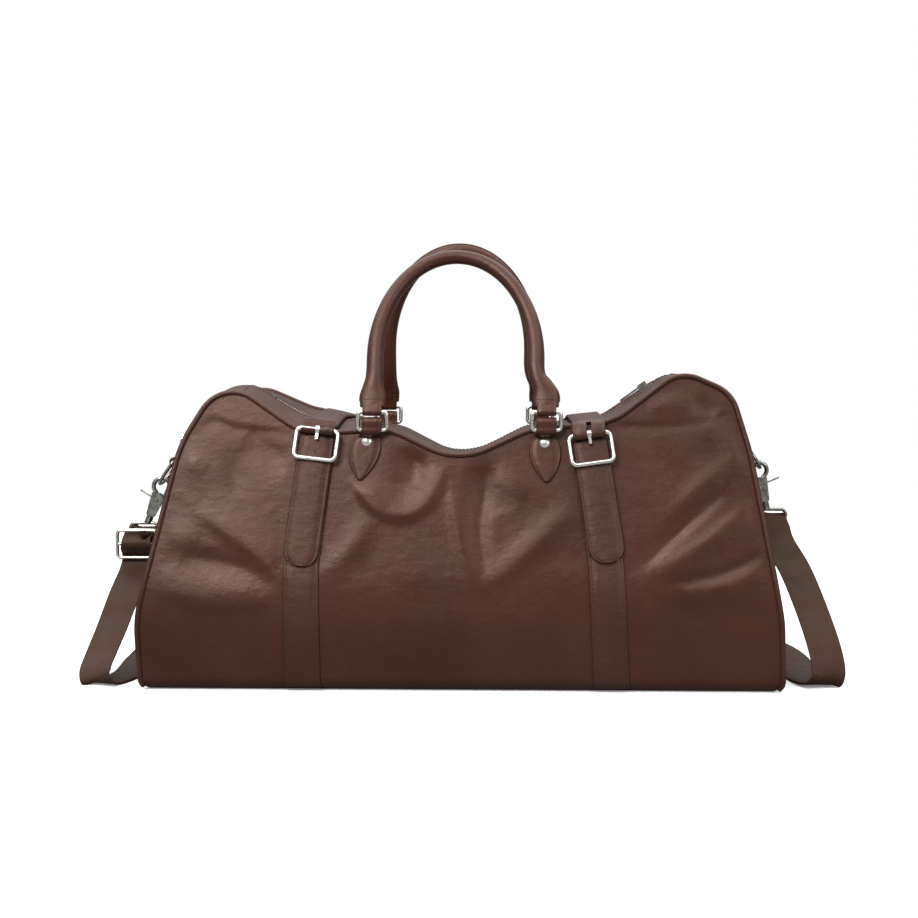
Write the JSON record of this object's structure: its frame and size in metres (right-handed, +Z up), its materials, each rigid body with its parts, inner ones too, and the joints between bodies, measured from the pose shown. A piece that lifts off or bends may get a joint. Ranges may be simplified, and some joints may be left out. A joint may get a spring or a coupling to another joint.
{
  "type": "weekender bag",
  "caption": "Soft leather weekender bag with a zipped top, buckle straps over the top, rolled leather handles on rings and a detachable shoulder strap.",
  "frame": {"origin": "middle of the flat base, on the surface that the bag stands on", "axes": "+Z up, +X along the length of the bag, -Y out of its front face"},
  "size_m": [0.6547, 0.3136, 0.3902],
  "materials": {
    "leather": "satin",
    "strap_leather": "satin",
    "piping_leather": "satin",
    "shoulder_leather": "satin",
    "lining_fabric": "matte",
    "zip_tape": "matte",
    "rope": "matte",
    "board": "matte",
    "zip_metal": "satin",
    "nickel": "satin",
    "antique_nickel": "satin"
  },
  "bodies": {
    "bag": {"front_piping": "piping_leather", "rear_piping": "piping_leather", "piping_cords": "rope", "front_panel": "leather", "rear_panel": "leather", "base_panel": "leather", "left_end_panel": "leather", "right_end_panel": "leather", "front_zip_gusset": "leather", "front_zip_tape": "zip_tape", "front_zip_teeth": "zip_metal", "rear_zip_gusset": "leather", "rear_zip_tape": "zip_tape", "rear_zip_teeth": "zip_metal", "zip_end_stops": "zip_metal", "lining": "lining_fabric", "base_board": "board", "left_front_belt": "strap_leather", "left_rear_belt": "strap_leather", "right_front_belt": "strap_leather", "right_rear_belt": "strap_leather", "snap_bases": "nickel", "front_left_tab": "leather", "front_right_tab": "leather", "rear_left_tab": "leather", "rear_right_tab": "leather", "left_ring_tab": "strap_leather", "left_hook_eye": "antique_nickel", "right_ring_tab": "strap_leather", "right_hook_eye": "antique_nickel", "tab_rivets": "nickel", "strap_adjuster": "nickel", "shoulder_strap": "shoulder_leather"},
    "left_strap": {"left_top_strap": "strap_leather", "left_buckle": "nickel", "left_tongue": "strap_leather", "left_snap_cap": "nickel"},
    "left_prong": {"left_prong": "nickel"},
    "left_side_ring": {"left_side_ring": "antique_nickel"},
    "left_hook": {"left_hook": "antique_nickel"},
    "left_hook_gate": {"left_hook_gate": "antique_nickel"},
    "right_strap": {"right_top_strap": "strap_leather", "right_buckle": "nickel", "right_tongue": "strap_leather", "right_snap_cap": "nickel"},
    "right_prong": {"right_prong": "nickel"},
    "right_side_ring": {"right_side_ring": "antique_nickel"},
    "right_hook": {"right_hook": "antique_nickel"},
    "right_hook_gate": {"right_hook_gate": "antique_nickel"},
    "front_rings": {"front_left_ring": "nickel", "front_right_ring": "nickel"},
    "front_handle": {"front_handle": "leather", "front_handle_core": "rope"},
    "rear_rings": {"rear_left_ring": "nickel", "rear_right_ring": "nickel"},
    "rear_handle": {"rear_handle": "leather", "rear_handle_core": "rope"},
    "zip_slider": {"zip_slider": "zip_metal"},
    "zip_pull": {"zip_pull": "zip_metal"}
  },
  "joints": [
    {"name": "left_strap_lift", "type": "hinge", "parent": "bag", "child": "left_strap", "pos_m": [0, 0.0848, 0.23299], "axis": [-1, 0, 0], "range_deg": [0, 120]},
    {"name": "left_prong_turn", "type": "hinge", "parent": "left_strap", "child": "left_prong", "pos_m": [-0.12256, -0.09221, 0.21906], "axis": [-0.9936, 0.0296, 0.1093], "range_deg": [0, 75]},
    {"name": "right_strap_lift", "type": "hinge", "parent": "bag", "child": "right_strap", "pos_m": [0, 0.0848, 0.22707], "axis": [-1, 0, 0], "range_deg": [0, 120]},
    {"name": "right_prong_turn", "type": "hinge", "parent": "right_strap", "child": "right_prong", "pos_m": [0.10773, -0.09317, 0.21552], "axis": [-0.9903, -0.0364, -0.1343], "range_deg": [0, 75]},
    {"name": "front_ring_swing", "type": "hinge", "parent": "bag", "child": "front_rings", "pos_m": [0, -0.0922, 0.2186], "axis": [1, 0, 0], "range_deg": [-4, 45]},
    {"name": "front_handle_swing", "type": "hinge", "parent": "front_rings", "child": "front_handle", "pos_m": [0, -0.0922, 0.234], "axis": [1, 0, 0], "range_deg": [-2, 110]},
    {"name": "rear_ring_swing", "type": "hinge", "parent": "bag", "child": "rear_rings", "pos_m": [0, 0.0922, 0.2186], "axis": [-1, 0, 0], "range_deg": [-12, 45]},
    {"name": "rear_handle_swing", "type": "hinge", "parent": "rear_rings", "child": "rear_handle", "pos_m": [0, 0.0922, 0.234], "axis": [-1, 0, 0], "range_deg": [-6, 110]},
    {"name": "zip_slide", "type": "slide", "parent": "bag", "child": "zip_slider", "axis": [-0.8114, 0, -0.5845], "range_m": [0, 0.02]},
    {"name": "zip_pull_turn", "type": "hinge", "parent": "zip_slider", "child": "zip_pull", "pos_m": [0.1613, 0, 0.25592], "axis": [0, 1, 0], "range_deg": [0, 150]},
    {"name": "left_ring_swing", "type": "hinge", "parent": "bag", "child": "left_side_ring", "pos_m": [-0.26519, 0.0032, 0.186], "axis": [0, 1, 0], "range_deg": [-3, 2]},
    {"name": "left_hook_swivel", "type": "hinge", "parent": "bag", "child": "left_hook", "pos_m": [-0.27881, 0.0032, 0.16251], "axis": [-0.3746, 0, -0.9272], "range_deg": [-12, 12]},
    {"name": "left_gate_press", "type": "hinge", "parent": "left_hook", "child": "left_hook_gate", "pos_m": [-0.28368, 0.0032, 0.15046], "axis": [0, -1, 0], "range_deg": [0, 8], "stiffness_Nm_per_rad": 0.02, "springref_deg": -11.46},
    {"name": "right_ring_swing", "type": "hinge", "parent": "bag", "child": "right_side_ring", "pos_m": [0.25426, 0.0032, 0.202], "axis": [0, 1, 0], "range_deg": [-2, 3]},
    {"name": "right_hook_swivel", "type": "hinge", "parent": "bag", "child": "right_hook", "pos_m": [0.26788, 0.0032, 0.17851], "axis": [0.2079, 0, -0.9781], "range_deg": [-12, 12]},
    {"name": "right_gate_press", "type": "hinge", "parent": "right_hook", "child": "right_hook_gate", "pos_m": [0.27059, 0.0032, 0.1658], "axis": [0, 1, 0], "range_deg": [0, 8], "stiffness_Nm_per_rad": 0.02, "springref_deg": -11.46}
  ]
}
